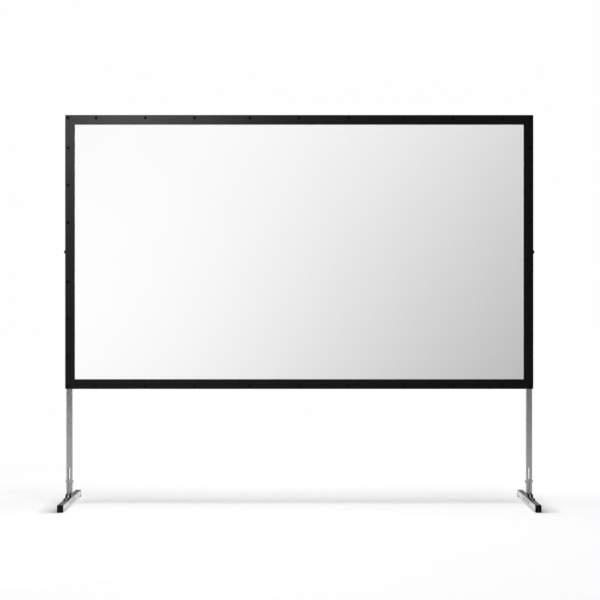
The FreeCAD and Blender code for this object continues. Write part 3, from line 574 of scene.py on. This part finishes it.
# Rail hinges: small steel butt hinges on the front of the rails, at the two fold lines, under the
# border. They are zinc plated, which is bright with cloudy patches.
zinc, tree, output = new_material("zinc_plated_steel")
where = add_node(tree, "ShaderNodeTexCoord").outputs["Object"]
bloom = add_node(tree, "ShaderNodeTexNoise", {"Vector": where, "Scale": 1 / (14 * MM), "Detail": 5.0})
tone = add_node(tree, "ShaderNodeMix", {"Factor": bloom.outputs["Fac"], "A": linear("A6A8AA"),
                                        "B": linear("BDBEBC")}, data_type="RGBA")
gloss = add_node(tree, "ShaderNodeMapRange", {"Value": bloom.outputs["Fac"], "To Min": 0.24, "To Max": 0.42})
plated = add_node(tree, "ShaderNodeBsdfPrincipled", {"Base Color": tone.outputs["Result"], "Metallic": 1.0,
                                                     "Roughness": gloss.outputs["Result"]})
tree.links.new(plated.outputs[0], output.inputs["Surface"])
dress(zinc, "bottom_middle_hinge_leaves", "top_middle_hinge_leaves")
for side in sides:
    dress(zinc, "bottom_%s_hinge_leaf" % side, "top_%s_hinge_leaf" % side)


# Legs: 32 mm square aluminium tubes, satin anodised like the frame but a shade lighter, with a
# sleeve of the same metal on the frame's bottom rail that each one slides in.
leg_metal = anodised_extrusion("anodised_leg", (across_lines, across_lines, along_lines), "A4A5A7", "B2B3B5")
for side in sides:
    dress(leg_metal, side + "_upright", side + "_sleeve")


# Pivot bolts and tongues: the bolt through the fork at the foot of each leg, and the steel plate that
# turns on it and runs down into the foot. They are zinc plated under a pale, dull chromate film that
# scatters light, with darker clouds.
dull_zinc, tree, output = new_material("dull_zinc_steel")
where = add_node(tree, "ShaderNodeTexCoord").outputs["Object"]
bloom = add_node(tree, "ShaderNodeTexNoise", {"Vector": where, "Scale": 1 / (9 * MM), "Detail": 5.0})
tone = add_node(tree, "ShaderNodeMix", {"Factor": bloom.outputs["Fac"], "A": linear("C0C1C2"),
                                        "B": linear("D2D2D0")}, data_type="RGBA")
gloss = add_node(tree, "ShaderNodeMapRange", {"Value": bloom.outputs["Fac"], "To Min": 0.28, "To Max": 0.38})
film_share = 0.65
chromate = add_node(tree, "ShaderNodeBsdfPrincipled", {"Base Color": tone.outputs["Result"],
                                                       "Metallic": 1 - film_share,
                                                       "Roughness": gloss.outputs["Result"]})
tree.links.new(chromate.outputs[0], output.inputs["Surface"])
for side in sides:
    dress(dull_zinc, side + "_pivot_bolt", side + "_foot_tongue")


# Feet: bars of square aluminium tube on the floor, front to back, with the leg's steel plate
# standing in them. They are brighter and smoother than the legs.
foot_metal = anodised_extrusion("anodised_foot", (across_lines, along_lines, across_lines), "B8B9BB",
                                "C2C3C5", smooth=0.14, dull=0.22)
for side in sides:
    dress(foot_metal, side + "_foot_bar")


# Black nylon parts: the feet's cheeks, the legs' top caps and the clamp knobs.
# Moulded with a fine spark-eroded grain, about half a millimetre, drawn at twice that.
nylon, tree, output = new_material("black_moulded_nylon")
where = add_node(tree, "ShaderNodeTexCoord").outputs["Object"]
grain = add_node(tree, "ShaderNodeTexNoise", {"Vector": where, "Scale": 1 / MM, "Detail": 2.0})
flow = add_node(tree, "ShaderNodeTexNoise", {"Vector": where, "Scale": 1 / (25 * MM), "Detail": 3.0})
tone = add_node(tree, "ShaderNodeMix", {"Factor": flow.outputs["Fac"], "A": linear("1A1A1A"),
                                        "B": linear("262626")}, data_type="RGBA")
gloss = add_node(tree, "ShaderNodeMapRange", {"Value": flow.outputs["Fac"], "To Min": 0.34, "To Max": 0.46})
relief = add_node(tree, "ShaderNodeBump", {"Height": grain.outputs["Fac"], "Strength": 0.2,
                                           "Distance": 0.05 * MM})
skin = add_node(tree, "ShaderNodeBsdfPrincipled", {"Base Color": tone.outputs["Result"],
                                                   "Roughness": gloss.outputs["Result"], "IOR": 1.53,
                                                   "Normal": relief.outputs["Normal"]})
tree.links.new(skin.outputs[0], output.inputs["Surface"])
for side in sides:
    dress(nylon, side + "_foot_bracket", side + "_upright_cap", side + "_sleeve_knob", side + "_upper_knob")


# Foot caps: soft black polyethylene, moulded dull so that they grip the floor, and a little scuffed.
soft_black, tree, output = new_material("black_soft_polyethylene")
where = add_node(tree, "ShaderNodeTexCoord").outputs["Object"]
scuffs = add_node(tree, "ShaderNodeTexNoise", {"Vector": where, "Scale": 1 / (8 * MM), "Detail": 5.0})
tone = add_node(tree, "ShaderNodeMix", {"Factor": scuffs.outputs["Fac"], "A": linear("0A0A0A"),
                                        "B": linear("161616")}, data_type="RGBA")
gloss = add_node(tree, "ShaderNodeMapRange", {"Value": scuffs.outputs["Fac"], "To Min": 0.5, "To Max": 0.64})
skin = add_node(tree, "ShaderNodeBsdfPrincipled", {"Base Color": tone.outputs["Result"],
                                                   "Roughness": gloss.outputs["Result"], "IOR": 1.5,
                                                   "Specular IOR Level": 0.12})
tree.links.new(skin.outputs[0], output.inputs["Surface"])
for side in sides:
    dress(soft_black, side + "_foot_caps")
